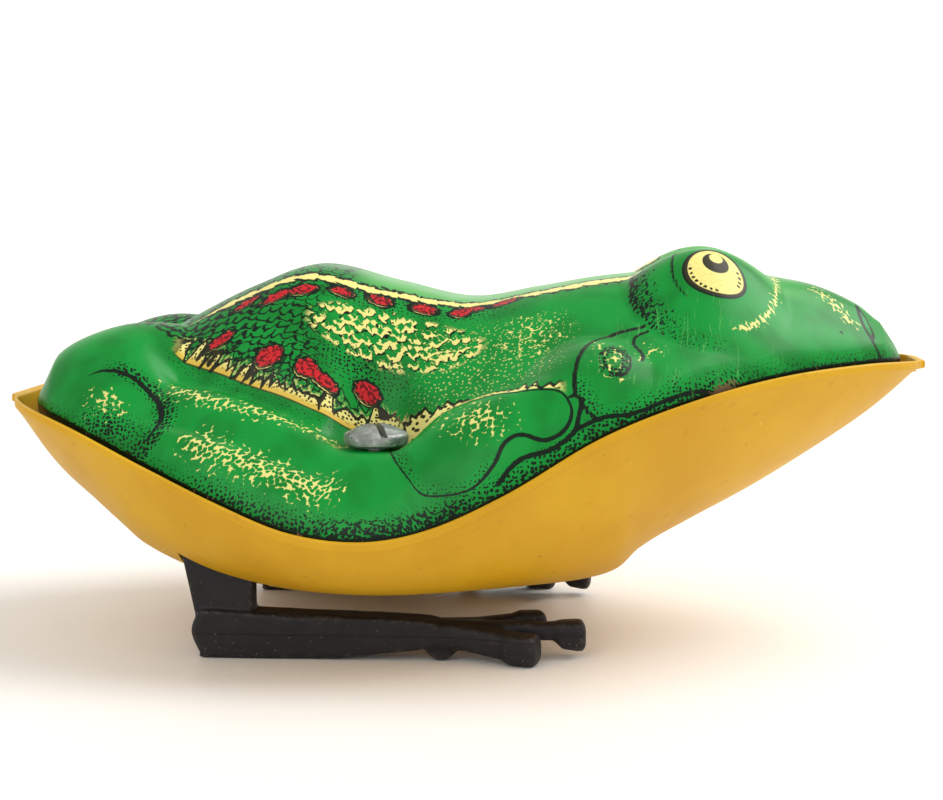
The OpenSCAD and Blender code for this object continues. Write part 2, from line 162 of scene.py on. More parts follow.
def glow(x, t, centre, radii, turn=0.0):
    """1 at the middle of an ellipse, falling to 0 at its edge."""
    return np.clip(-to_ellipse(x, t, centre, radii, turn) / min(radii), 0, 1)


def band(x, t, points, half):
    """1 on a smooth line through points, falling to 0 at half a width from it."""
    return np.clip(1 - to_line(x, t, rounded(points))[0] / half, 0, 1)


def fade(value, low, high):
    """0 below low, 1 above high, smooth between. low may be the larger."""
    s = np.clip((value - low) / (high - low), 0, 1)
    return s * s * (3 - 2 * s)


# ---- body shape, in mm
# The body is drawn on its own base line, which stands above the ground by STAND.

HALF_WIDTH = [(-53.3, 10.5), (-51.8, 14.6), (-49, 18.2), (-43, 22.4), (-33, 27.4), (-21, 31.6), (-9, 33),
              (4, 31.8), (15, 28.6), (26, 23.6), (36, 17.8), (44, 12.6), (49, 8.8), (51.8, 5.8), (53.3, 3)]
RIM = [(-53.3, 27.6), (-44, 25), (-34, 21.2), (-25, 17.7), (-17, 15), (-9, 14.3), (-2, 15.7), (6, 19.3),
       (16, 25), (26, 28.6), (36, 30.8), (46, 31.7), (53.3, 31.6)]
KEEL = [(-53.3, 27.6), (-52.2, 24), (-48.6, 18), (-43, 13.5), (-39.5, 11.0), (-37, 9.3), (-30, 6.9),
        (-20, 5.6), (-11, 5.2), (-2, 5.4), (8, 5.9), (15, 6.4), (18, 7.3), (20.2, 9.3), (26, 12.4),
        (33, 16.1), (40, 20.4), (47, 25.2), (51.5, 29.2), (53.3, 31.6)]
BILGE = [(-53.3, 2.2), (-44, 3), (-34, 4.2), (-20, 4.6), (10, 4.4), (18, 3.6), (24, 2.8), (36, 2.4),
         (53.3, 2)]
RIDGE = [(-51, 27.4), (-49, 29.8), (-44, 31), (-37.6, 33.9), (-31.5, 37.3), (-25.8, 40.1), (-18.3, 42.6),
         (-9, 40.6), (0, 38.7), (8, 39.9), (15, 41.1), (24, 42), (30, 42.1), (36, 41.2), (41.2, 40.1),
         (45.8, 38), (48.1, 36.2), (51.6, 34)]
SIDE = [(-51, 27.4), (-47, 29), (-40, 28.6), (-31, 27), (-18, 22.6), (-8, 21.5), (0, 24), (8, 28),
        (16, 31.5), (26, 34), (36, 35.5), (44, 35), (51.6, 33)]
WAIST = [(-51, 0.54), (-25, 0.54), (-9, 0.47), (8, 0.54), (51.6, 0.54)]
BELLY_END = 53.3
STERN, NOSE = -50.9, 50.9
RIM_GAP = 0.9
LEG_Y = 19.0
SEAT_AT, SEAT_R, SEAT_Z = (-9, -21), 5.2, 22.8
STAND = np.array([0, 0, 1.3])


def back_width(x):
    return curve(HALF_WIDTH, x * BELLY_END / NOSE) - RIM_GAP


def bump(x, y, centre, radii, height, power):
    q = ((x - centre[0]) / radii[0]) ** 2 + ((y - centre[1]) / radii[1]) ** 2
    return height * np.maximum(0, 1 - q) ** power


def valley(x, y, start, end, depth, width):
    d, _, along = to_line(x, y, [start, end])
    share = along / np.hypot(end[0] - start[0], end[1] - start[1])
    return -depth * np.exp(-(d / width) ** 2) * np.clip(4 * share, 0, 1) * np.clip(4 - 4 * share, 0, 1)


def back_height(x, y):
    """Height of the tin back: two haunches, two eyes, shoulders, creases and the knob's seat."""
    side = np.abs(y)
    width = back_width(x)
    edge = curve(RIM, x)
    low = curve(SIDE, x)
    form = low + (curve(RIDGE, x) - low) / (1 + (side / (curve(WAIST, x) * width)) ** 4)
    form += bump(x, side, (-42.3, 12.5), (10.5, 9.8), 5.0, 1.15)
    form += bump(x, side, (27.8, 9.4), (9.6, 8.8), 3.7, 1.2)
    form += bump(x, side, (1.5, 26.5), (11, 6.5), 3.2, 1.2)
    form += bump(x, side, (14, 22.5), (7.5, 6.5), 2.2, 1.2)
    form += valley(x, side, (-37, 14), (-11, 22), 2.0, 1.8)
    form += valley(x, side, (-38, 21), (-11, 28), 1.4, 1.5)
    ends = np.sqrt(np.clip((x - STERN) / 3.2, 0, 1) * np.clip((NOSE - x) / 2.4, 0, 1))
    rise = (1 - np.clip(side / width, 0, 1) ** 6) ** 0.62 * ends
    seat = 1 / (1 + (np.hypot(x - SEAT_AT[0], y - SEAT_AT[1]) / SEAT_R) ** 10)
    return seat * SEAT_Z + (1 - seat) * (edge + (form - edge) * rise)


# ---- meshes

def add_piece(name, points, faces, body, slot, *nodes):
    """A smooth mesh piece from points in mm, riding on a body and standing for CAD nodes."""
    mesh = bpy.data.meshes.new(name)
    mesh.from_pydata((np.asarray(points, float) * MM).tolist(), [], faces)
    mesh.validate()
    mesh.update()
    piece = add_object(name, mesh)
    claim(piece, body, slot, *nodes)
    return piece


def claim(piece, body, slot, *nodes):
    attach(piece, body)
    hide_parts(*nodes)


def soften(piece, angle=40):
    """Smooth shading with edges sharper than the angle kept crisp."""
    piece.data.shade_smooth()
    piece.data.set_sharp_from_angle(angle=radians(angle))


def lattice_faces(rows, columns, first=0, flip=False):
    faces = []
    for i in range(rows - 1):
        for j in range(columns - 1):
            a = first + i * columns + j
            face = (a, a + columns, a + columns + 1, a + 1)
            faces.append(face[::-1] if flip else face)
    return faces


def border(rows, columns, first=0):
    """The outer ring of a lattice, in order."""
    ring = [j for j in range(columns)]
    ring += [i * columns + columns - 1 for i in range(1, rows)]
    ring += [(rows - 1) * columns + j for j in range(columns - 2, -1, -1)]
    ring += [i * columns for i in range(rows - 2, 0, -1)]
    return [first + k for k in ring]


def join_rings(a, b):
    n = len(a)
    return [(a[k], a[(k + 1) % n], b[(k + 1) % n], b[k]) for k in range(n)]


def add_ring(points, faces, last, loop, inward=False):
    """Adds a ring of points, joins it to the last ring and returns its numbers."""
    first = sum(len(p) for p in points)
    points.append(loop)
    new = list(range(first, first + len(loop)))
    faces += join_rings(new, last) if inward else join_rings(last, new)
    return new


def lattice(rows, columns):
    """u from stern to nose and v from side to side, closer together at the ends and edges."""
    s = np.linspace(0, 1, rows)[:, None]
    v = np.sin(np.linspace(-1, 1, columns) * pi / 2)[None, :]
    return 0.5 * s + 0.25 * (1 - np.cos(pi * s)) + 0 * v, v + 0 * s


def tin_back():
    """The drawn tin back, with its edge turned down inside the belly's lip."""
    rows, columns = 300, 321
    tin = 0.35
    tuck = [(0.02, -0.35), (0.05, -0.9), (0.05 + tin, -0.9), (tin, -0.1)]
    u, v = lattice(rows, columns)
    x = STERN + (NOSE - STERN) * u
    y = v * back_width(x)
    z = back_height(x, y)
    skin = np.stack([x, y, z], -1)
    points = [skin.reshape(-1, 3)]
    faces = lattice_faces(rows, columns)
    ring = border(rows, columns)
    edge = skin.reshape(-1, 3)[ring]
    out = edge[:, :2] / np.linalg.norm(edge[:, :2], axis=1)[:, None]
    for inset, drop in tuck:
        loop = edge.copy()
        loop[:, :2] -= inset * out
        loop[:, 2] += drop
        ring = add_ring(points, faces, ring, loop, inward=True)
    piece = add_piece("tin_back", np.concatenate(points) + STAND, faces, "body", "litho_tin", "top_shell")
    soften(piece, 60)
    print_art(piece, skin, len(ring) * len(tuck))
    return piece


def belly_point(u, v, inset, drop):
    """A point of the belly's plan outline, moved in by inset and down from the rim by drop."""
    x = -BELLY_END + inset + (2 * BELLY_END - 2 * inset) * u
    return x, v * (curve(HALF_WIDTH, x) - inset), curve(RIM, x) - drop


def belly_hull():
    """The moulded belly: outer and inner skins joined over a lip with a small flange and a ledge."""
    rows, columns = 230, 190
    flange, wall = 1.0, 1.25
    lip = [(-0.2, 0.94), (-0.26, 0.84), (-0.26, 0.22), (-0.2, 0.08), (-0.06, 0.0), (0.6, 0.0),
           (0.76, 0.06), (0.82, 0.2), (0.82, 1.3)]
    u, v = lattice(rows, columns)

    def skin(inset, drop, rise):
        x, y, top = belly_point(u, v, inset, drop)
        keel = np.minimum(curve(KEEL, x) + rise, top)
        return np.stack([x, y, keel + (top - keel) * np.abs(v) ** curve(BILGE, x)], -1).reshape(-1, 3)

    outer = skin(0, flange, 0)
    inner = skin(wall, lip[-1][1], wall)
    last = border(rows, columns)
    points = [outer]
    faces = lattice_faces(rows, columns, flip=True)
    edge_u, edge_v = u.reshape(-1)[last], v.reshape(-1)[last]
    for inset, drop in lip:
        loop = np.stack(belly_point(edge_u, edge_v, inset, drop), -1)
        last = add_ring(points, faces, last, loop)
    first = sum(len(p) for p in points)
    points.append(inner)
    faces += lattice_faces(rows, columns, first)
    faces += join_rings(last, border(rows, columns, first))
    piece = add_piece("belly_hull", np.concatenate(points) + STAND, faces, "body", "yellow_plastic",
                      "belly_shell")
    slot_x, slot_z, slot_size = -26.5, 10, (10.2, 4.0, 14)
    for side in (-1, 1):
        cut(piece, (slot_x, LEG_Y * side, slot_z), slot_size)
    soften(piece, 38)
    return piece


def cut(piece, centre, size, turn=0.0):
    """Cuts a box out of a piece; centre and size are in mm, and turn is in degrees in plan."""
    mesh = bpy.data.meshes.new("cutter")
    bm = bmesh.new()
    bmesh.ops.create_cube(bm, size=1)
    place = Matrix.Translation(Vector(centre) * MM) @ Matrix.Rotation(radians(turn), 4, "Z")
    bm.transform(place @ Matrix.Diagonal((*(Vector(size) * MM), 1)))
    bm.to_mesh(mesh)
    bm.free()
    cutter = add_object("cutter", mesh)
    modifier = piece.modifiers.new("cut", "BOOLEAN")
    modifier.operation = "DIFFERENCE"
    modifier.solver = "EXACT"
    modifier.object = cutter
    apply_all(piece)
    bpy.data.objects.remove(cutter)


def apply_all(piece):
    graph = bpy.context.evaluated_depsgraph_get()
    graph.update()
    done = bpy.data.meshes.new_from_object(piece.evaluated_get(graph))
    piece.modifiers.clear()
    piece.data = done


def loft(stations, power=4.0, sides=28):
    """A closed limb through (x, y, z, half width, half height) stations, boxy with rounded corners."""
    s = np.array(stations, float)
    turn = np.arange(sides) / sides * tau
    c, n = np.cos(turn), np.sin(turn)
    reach = (np.abs(c) ** power + np.abs(n) ** power) ** (-1 / power)
    heading = np.gradient(s[:, :2], axis=0)
    heading /= np.linalg.norm(heading, axis=1)[:, None]
    points = []
    for (x, y, z, half_w, half_h), (hx, hy) in zip(s, heading):
        across = c * reach * half_w
        points.append(np.stack([x - hy * across, y + hx * across, z + n * reach * half_h], -1))
    return np.concatenate(points), tube_faces(len(s), sides)


def tube_faces(rings, sides):
    """A tube over rings of points, closed by a face at each end."""
    faces = []
    for i in range(rings - 1):
        for j in range(sides):
            k = (j + 1) % sides
            faces.append((i * sides + j, i * sides + k, (i + 1) * sides + k, (i + 1) * sides + j))
    faces.append(tuple(range(sides))[::-1])
    faces.append(tuple(range((rings - 1) * sides, rings * sides)))
    return faces


def capped(stations, share=(0.55, 0.86)):
    """Stations with both ends rounded over by two shrinking ones."""
    s = [list(p) for p in stations]
    out = []
    for end, near in ((s[0], s[1]), (s[-1], s[-2])):
        way = np.array(end[:3], float) - np.array(near[:3], float)
        way /= np.linalg.norm(way)
        radius = min(end[3:])
        caps = []
        for k in share:
            point = np.array(end[:3]) + way * (radius * (1 - k**2) ** 0.5 * 0.6)
            caps.append([*point, end[3] * (k + 0.1), end[4] * (k + 0.1)])
        out.append(caps)
    return [out[0][0], out[0][1], *s, out[1][1], out[1][0]]


BLADE = [(-23.2, 2.4), (-23.2, 13.3), (-24.9, 15.8), (-30.1, 15.8), (-31.5, 12.3), (-29.4, 2.4)]
HEEL = [(-30.3, 2.9), (-29.3, 0.5), (-28.4, 0.0), (-16, 0.05), (-10, 0.6), (-4, 1.3), (-2, 2.0), (-2, 4.2),
        (-6, 4.8), (-21, 5.25), (-28.6, 5.5), (-29.6, 5.0)]


def slab(outline, y, half, edge=0.35):
    """A flat plate drawn in x and z, with its two rims eased over."""
    p = np.array(outline, float)
    middle = p.mean(axis=0)
    n = len(p)
    points = []
    for shift, inset in ((-half, edge), (-half + edge, 0), (half - edge, 0), (half, edge)):
        way = p - middle
        q = p - way / np.linalg.norm(way, axis=1)[:, None] * inset
        points.append(np.stack([q[:, 0], np.full(n, y + shift), q[:, 1]], -1))
    return np.concatenate(points), tube_faces(4, n)


def foot(name, side, node):
    """One leg, side -1 for the frog's right: blade, heel bar, three toes and the pad below."""
    y = -LEG_Y
    palm = (-5, y, 3.0)
    parts = [
        slab(rounded(BLADE, closed=True, steps=1), y, 1.5),
        slab(rounded(HEEL, closed=True, steps=4), y, 2.1, 0.5),
        loft(capped([(*palm, 1.7, 1.6), (1, y - 0.9, 2.7, 1.45, 1.5), (5.2, y - 2.0, 2.15, 1.5, 1.6),
                     (6.0, y - 2.3, 1.85, 1.7, 1.78), (8.3, y - 2.9, 1.8, 1.75, 1.76)])),
        loft(capped([(*palm, 1.6, 1.5), (4, y + 0.6, 3.2, 1.2, 1.05), (10.6, y + 1.3, 3.1, 1.2, 1.0),
                     (11.6, y + 1.4, 2.7, 1.5, 1.6), (13.4, y + 1.6, 2.6, 1.7, 1.75)])),
        loft(capped([(*palm, 1.5, 1.5), (2, y + 2.2, 3.2, 1.2, 1.05), (6.0, y + 3.9, 3.3, 1.2, 1.1),
                     (6.9, y + 4.2, 3.1, 1.5, 1.6), (8.8, y + 4.8, 3.0, 1.55, 1.65)])),
    ]
    pad = [(-3.9, 2.4), (-3.6, 1.0), (-2.8, 0.25), (-1.9, 0.0), (-1.0, 0.25), (-0.2, 1.0), (0.1, 2.4)]
    parts.append(slab(pad, y - 0.2, 1.5, 0.4))
    points, faces, first = [], [], 0
    for part_points, part_faces in parts:
        points.append(part_points * (1, -side, 1))
        faces += [tuple(first + k for k in face)[::-side] for face in part_faces]
        first += len(part_points)
    mesh = bpy.data.meshes.new(name)
    mesh.from_pydata((np.concatenate(points) * MM).tolist(), [], faces)
    piece = add_object(name, mesh)
    bm = bmesh.new()
    bm.from_mesh(mesh)
    bmesh.ops.recalc_face_normals(bm, faces=bm.faces)
    bm.to_mesh(mesh)
    bm.free()
    remesh = piece.modifiers.new("one", "REMESH")
    remesh.mode = "VOXEL"
    remesh.voxel_size = 0.2 * MM
    smooth = piece.modifiers.new("ease", "SMOOTH")
    smooth.factor = 0.5
    smooth.iterations = 7
    apply_all(piece)
    claim(piece, "legs", "dark_plastic", node)
    soften(piece, 60)
    return piece


def knob():
    """The cast winding knob: a thick domed disc with a screwdriver slot."""
    low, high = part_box("winding_knob")
    middle = (low + high) / 2
    radius = (high.x - low.x) / 2 / MM
    height = (high.z - low.z) / MM
    dome, ease, sides = 0.95, 0.5, 96
    slot_size, slot_turn = (9, 0.8, 2.6), 112
    profile = [(0.9, 0.0), (radius - 0.5, 0.0), (radius - 0.12, 0.25), (radius, 0.7)]
    profile.append((radius, height - ease - dome))
    for k in range(1, 6):
        a = k / 6 * pi / 2
        profile.append((radius - ease * (1 - cos(a)), height - dome - ease * (1 - sin(a))))
    profile += [((radius - ease) * k, height - dome * k**2) for k in (0.98, 0.9, 0.75, 0.5, 0.25, 0.05)]
    turn = np.arange(sides) / sides * tau
    points = []
    for r, z in profile:
        points.append(np.stack([middle.x / MM + r * np.cos(turn), middle.y / MM + r * np.sin(turn),
                                np.full(sides, low.z / MM + z)], -1))
    piece = add_piece("winding_knob_cast", np.concatenate(points), tube_faces(len(profile), sides),
                      "winder", "cast_zinc", "winding_knob")
    cut(piece, (middle.x / MM, middle.y / MM, high.z / MM), slot_size, slot_turn)
    soften(piece, 35)
    return piece


# ---- shader arithmetic

class Value:
    """A shader value that takes ordinary arithmetic."""

    def __init__(self, paint, socket):
        self.paint, self.socket = paint, socket

    def __add__(self, other):
        return self.paint.math("ADD", self, other)

    def __sub__(self, other):
        return self.paint.math("SUBTRACT", self, other)

    def __rsub__(self, other):
        return self.paint.math("SUBTRACT", other, self)

    def __mul__(self, other):
        return self.paint.math("MULTIPLY", self, other)

    def __abs__(self):
        return self.paint.math("ABSOLUTE", self)

    __radd__ = __add__
    __rmul__ = __mul__

    def above(self, level, soft=0.05):
        """1 where the value is over the level, 0 where it is under, with a soft edge."""
        return self.paint.step(self - level, -soft, soft)

    def below(self, level, soft=0.05):
        return self.paint.step(level - self, -soft, soft)


class Paint:
    """A material whose nodes are built by calls."""

    def __init__(self, name, roughness=0.4, metallic=0.0, coat=0.0, coat_roughness=0.05, specular=0.5):
        self.material = bpy.data.materials.new(name)
        self.material.use_nodes = True
        self.tree = self.material.node_tree
        self.shader = self.tree.nodes["Principled BSDF"]
        self.shader.inputs["Roughness"].default_value = roughness
        self.shader.inputs["Metallic"].default_value = metallic
        self.shader.inputs["Coat Weight"].default_value = coat
        self.shader.inputs["Coat Roughness"].default_value = coat_roughness
        self.shader.inputs["Specular IOR Level"].default_value = specular

    def node(self, kind, **settings):
        node = self.tree.nodes.new(kind)
        for key, value in settings.items():
            setattr(node, key, value)
        return node

    def feed(self, socket, value):
        if isinstance(value, Value):
            self.tree.links.new(value.socket, socket)
        elif isinstance(value, bpy.types.NodeSocket):
            self.tree.links.new(value, socket)
        else:
            socket.default_value = value

    def math(self, operation, *values):
        node = self.node("ShaderNodeMath", operation=operation)
        for socket, value in zip(node.inputs, values):
            self.feed(socket, value)
        return Value(self, node.outputs[0])

    def least(self, a, b):
        return self.math("MINIMUM", a, b)

    def most(self, a, b):
        return self.math("MAXIMUM", a, b)

    def radius(self, u, v):
        return self.math("SQRT", u * u + v * v)

    def step(self, value, low, high):
        node = self.node("ShaderNodeMapRange", interpolation_type="SMOOTHSTEP", clamp=True)
        self.feed(node.inputs["Value"], value)
        self.feed(node.inputs["From Min"], low)
        self.feed(node.inputs["From Max"], high)
        return Value(self, node.outputs["Result"])

    def attribute(self, name, vector=False):
        node = self.node("ShaderNodeAttribute", attribute_name=name, attribute_type="GEOMETRY")
        return node.outputs["Vector"] if vector else Value(self, node.outputs["Fac"])

    def place(self):
        """Position on the piece, in mm."""
        node = self.node("ShaderNodeVectorMath", operation="SCALE")
        self.feed(node.inputs[0], self.node("ShaderNodeTexCoord").outputs["Object"])
        node.inputs["Scale"].default_value = 1 / MM
        return node.outputs[0]

    def stretched(self, at, scale=(1, 1, 1), turn=0.0, shift=(0, 0, 0)):
        node = self.node("ShaderNodeMapping")
        self.feed(node.inputs["Vector"], at)
        node.inputs["Scale"].default_value = scale
        node.inputs["Rotation"].default_value = (0, 0, radians(turn))
        node.inputs["Location"].default_value = shift
        return node.outputs[0]

    def split(self, at):
        node = self.node("ShaderNodeSeparateXYZ")
        self.feed(node.inputs[0], at)
        return [Value(self, s) for s in node.outputs]

    def joined(self, x, y, z=0.0):
        node = self.node("ShaderNodeCombineXYZ")
        for socket, value in zip(node.inputs, (x, y, z)):
            self.feed(socket, value)
        return node.outputs[0]

    def noise(self, at, size, detail=2.0, seed=0.0, dims="3D"):
        """Smooth noise about 0.5 with features of the given size in mm."""
        node = self.node("ShaderNodeTexNoise", noise_dimensions=dims)
        self.feed(node.inputs["Vector"], self.stretched(at, shift=(seed, seed * 0.7, seed * 1.3)))
        node.inputs["Scale"].default_value = 1 / size
        node.inputs["Detail"].default_value = detail
        return Value(self, node.outputs["Fac"])

    def cells(self, at, size, random=1.0, metric="EUCLIDEAN", dims="2D"):
        """Distance to the nearest cell centre, in cells of the given size in mm."""
        node = self.node("ShaderNodeTexVoronoi", voronoi_dimensions=dims, distance=metric)
        self.feed(node.inputs["Vector"], at)
        node.inputs["Scale"].default_value = 1 / size
        node.inputs["Randomness"].default_value = random
        return Value(self, node.outputs["Distance"])

    def wander(self, at, size, reach, dims="2D"):
        """A position moved about by noise, by up to half of reach, in mm."""
        node = self.node("ShaderNodeTexNoise", noise_dimensions=dims)
        self.feed(node.inputs["Vector"], at)
        node.inputs["Scale"].default_value = 1 / size
        node.inputs["Detail"].default_value = 1.0
        less = self.node("ShaderNodeVectorMath", operation="SUBTRACT")
        self.feed(less.inputs[0], node.outputs["Color"])
        less.inputs[1].default_value = (0.5, 0.5, 0.5)
        more = self.node("ShaderNodeVectorMath", operation="MULTIPLY_ADD")
        self.feed(more.inputs[0], less.outputs[0])
        more.inputs[1].default_value = (reach * 2, reach * 2, reach * 2)
        self.feed(more.inputs[2], at)
        return more.outputs[0]

    def mix(self, share, a, b):
        """Colour a, turned into b where share is 1. Colours are tuples or earlier mixes."""
        node = self.node("ShaderNodeMix", data_type="RGBA")
        self.feed(node.inputs[0], share)
        for socket, colour in ((node.inputs[6], a), (node.inputs[7], b)):
            self.feed(socket, (*colour, 1) if isinstance(colour, tuple) else colour)
        return node.outputs[2]

    def colour(self, value):
        self.feed(self.shader.inputs["Base Color"], value)

    def roughness(self, value):
        self.feed(self.shader.inputs["Roughness"], value)

    def bump(self, height, depth):
        """Surface relief: height runs from 0 to 1 over depth mm."""
        node = self.node("ShaderNodeBump")
        node.inputs["Strength"].default_value = 1.0
        node.inputs["Distance"].default_value = depth * MM
        self.feed(node.inputs["Height"], height)
        self.feed(self.shader.inputs["Normal"], node.outputs[0])


def rgb(red, green, blue):
    """A colour given as screen values from 0 to 255."""
    return tuple(round(((c / 255 + 0.055) / 1.055) ** 2.4 if c > 10 else c / 255 / 12.92, 5)
                 for c in (red, green, blue))


# ---- the printed art
# Art is placed by x, along the frog, and t, the distance in mm from the ridge down over the skin.

# Each spot has a place, two radii and a turn in degrees.
RED_SPOTS = [((-25.6, 10.0), (1.4, 0.5), -20), ((-22.0, 10.8), (1.7, 0.65), -12),
             ((-18.9, 10.5), (1.5, 0.7), -8), ((-14.4, 9.9), (1.25, 0.6), 4), ((-10.0, 9.5), (1.35, 0.7), 6),
             ((-4.8, 9.4), (1.45, 0.72), 4), ((-0.6, 9.5), (1.1, 0.6), 0), ((0.6, 8.7), (1.5, 0.5), -6),
             ((4.6, 8.2), (1.4, 0.5), -14), ((-28.0, 14.7), (1.5, 0.75), -18),
             ((-21.9, 19.4), (1.55, 1.25), 0), ((-17.5, 21.3), (1.25, 1.15), 20),
             ((-15.4, 22.5), (1.6, 0.75), 30), ((-10.6, 21.9), (1.5, 1.2), 20)]
STRIPE = [(-38, 10.4), (-34, 9.3), (-31, 8.6), (-22, 8.2), (-12, 8.2), (-2, 7.5), (8, 7.3), (18, 6.3),
          (22, 6)]
CREASE_EDGE = [(-33.6, 14.4), (-28.2, 18.9), (-22.4, 23.5), (-16.6, 26.4), (-11, 26.9), (-5, 26.6)]
CREASE_TOP = [(-32.8, 13.7), (-28.3, 17.1), (-25.1, 20.1), (-22.4, 22.0), (-17.8, 24.3), (-13.5, 24.9),
              (-9.5, 24.6)]
THIGH = [(-34, 20.5), (-27, 25.5), (-21, 28.7), (-13, 31)]
SHIN = [(-28.8, 31.1), (-21.2, 36.6), (-13.5, 39.8)]
FOREARM = [(-7.2, 33), (-6.4, 36), (-4.4, 38.4), (-1, 38.9), (2.4, 38.5), (4.6, 36.3), (5.7, 33.9),
           (7.5, 33), (10, 33.8), (12, 33), (12.8, 31.2), (12.3, 29.3), (11, 27.9), (8, 27.2), (3, 26.6),
           (-2, 26.2), (-5.6, 27.6), (-7.3, 30)]
ARM_LINE = [(13.9, 29.6), (13.6, 31.5), (13.0, 33.4), (10.7, 34.9), (8.1, 35.5), (6.5, 36.6), (5.2, 38.4)]
LACE = [(-7.4, 26.6), (-5.6, 24.6), (-3, 23.9), (1, 24.1), (5, 25.3), (8.5, 26.3), (11.4, 26.9)]
EAR = [(20.6, 17.4), (18.2, 17.4), (15.9, 18.9), (13.9, 22.2), (13.1, 25.6), (13.2, 28.6), (14.4, 30.9),
       (15.6, 32)]
EAR_TAIL = [(12.2, 29.2), (12.9, 29.0), (13.3, 28.0)]
EAR_HOOK = [(20.9, 18.5), (19.7, 18.8), (19.4, 20.2), (20.3, 22.6), (20.4, 24.0)]
EAR_CURL = [(18.9, 23.4), (19.0, 25.0), (18.3, 26.2), (17.4, 26.4)]
MOUTH = [(13.5, 33), (17, 31.4), (22, 30.2), (28, 28.6)]
NOSTRIL = [(45.6, 2.6), (45.8, 4.6), (46.4, 6.4), (47.4, 7.9), (48.8, 9.0)]
MUZZLE = [(46.0, 3.2), (46.8, 4.4), (47.2, 5.8), (47.0, 7.2)]
EYELID = [(25.1, 6.0), (24.0, 7.8), (23.7, 11.0), (24.3, 13.8), (25.4, 15.8)]
BULGE_BACK = [(19.8, 2.0), (19.0, 5.8), (18.9, 11.8), (20.0, 15.4), (21.9, 19.1), (23.9, 21.7),
              (25.9, 23.5), (28.2, 23.4)]
BULGE_FRONT = [(35.7, 2.0), (35.9, 6.0), (35.4, 10.6), (34.2, 14.4), (32.6, 17.3), (30.6, 19.4)]
SNOUT = [(41.1, 4.2), (43.1, 5.5), (44.4, 6.6)]
LINES = [(ARM_LINE, 0.3), (EAR, 0.3), (EAR_TAIL, 0.2), (EAR_HOOK, 0.27), (EAR_CURL, 0.22), (MOUTH, 0.26),
         (NOSTRIL, 0.28), (MUZZLE, 0.2), (EYELID, 0.22)]  # each with half its width
HAUNCH_AT, HAUNCH_R = (-39.7, 25.6), (6.7, 5.6)
EYE_AT, EYE_R = (28.6, 11.7), (3.5, 3.85)
SWIRL_AT, NICK_AT = (17.3, 24.2), (43.2, 9.9)
RUB_X, RUB_UP = 29.4, 0.2  # up from the rim


